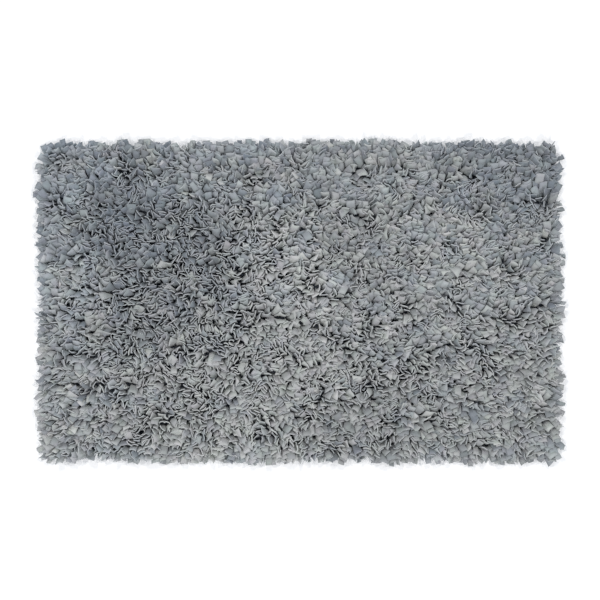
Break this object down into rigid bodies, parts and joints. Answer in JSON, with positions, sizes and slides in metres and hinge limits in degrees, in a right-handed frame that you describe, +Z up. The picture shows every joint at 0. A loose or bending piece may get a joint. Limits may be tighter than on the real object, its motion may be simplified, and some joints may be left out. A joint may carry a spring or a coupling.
{
  "type": "shag rug",
  "caption": "Rectangular floor rug with a deep, uneven pile of flat cut cloth strips on a plain ground cloth, its rim strips flopping out onto the floor.",
  "frame": {"origin": "on the floor, under the middle of the rug", "axes": "+X along the rug's length, +Y across its width, +Z up through the pile"},
  "size_m": [1.5562, 0.9555, 0.0498],
  "materials": {
    "strip_cloth": "matt cotton knit cut in flat strips, cool grey, a little uneven from strip to strip",
    "ground_cloth": "matt plain-woven canvas, dark slate, with pale rows of the stitching that holds the strips"
  },
  "bodies": {
    "root": {"ground_cloth": "ground_cloth", "pile": "strip_cloth"}
  },
  "joints": []
}
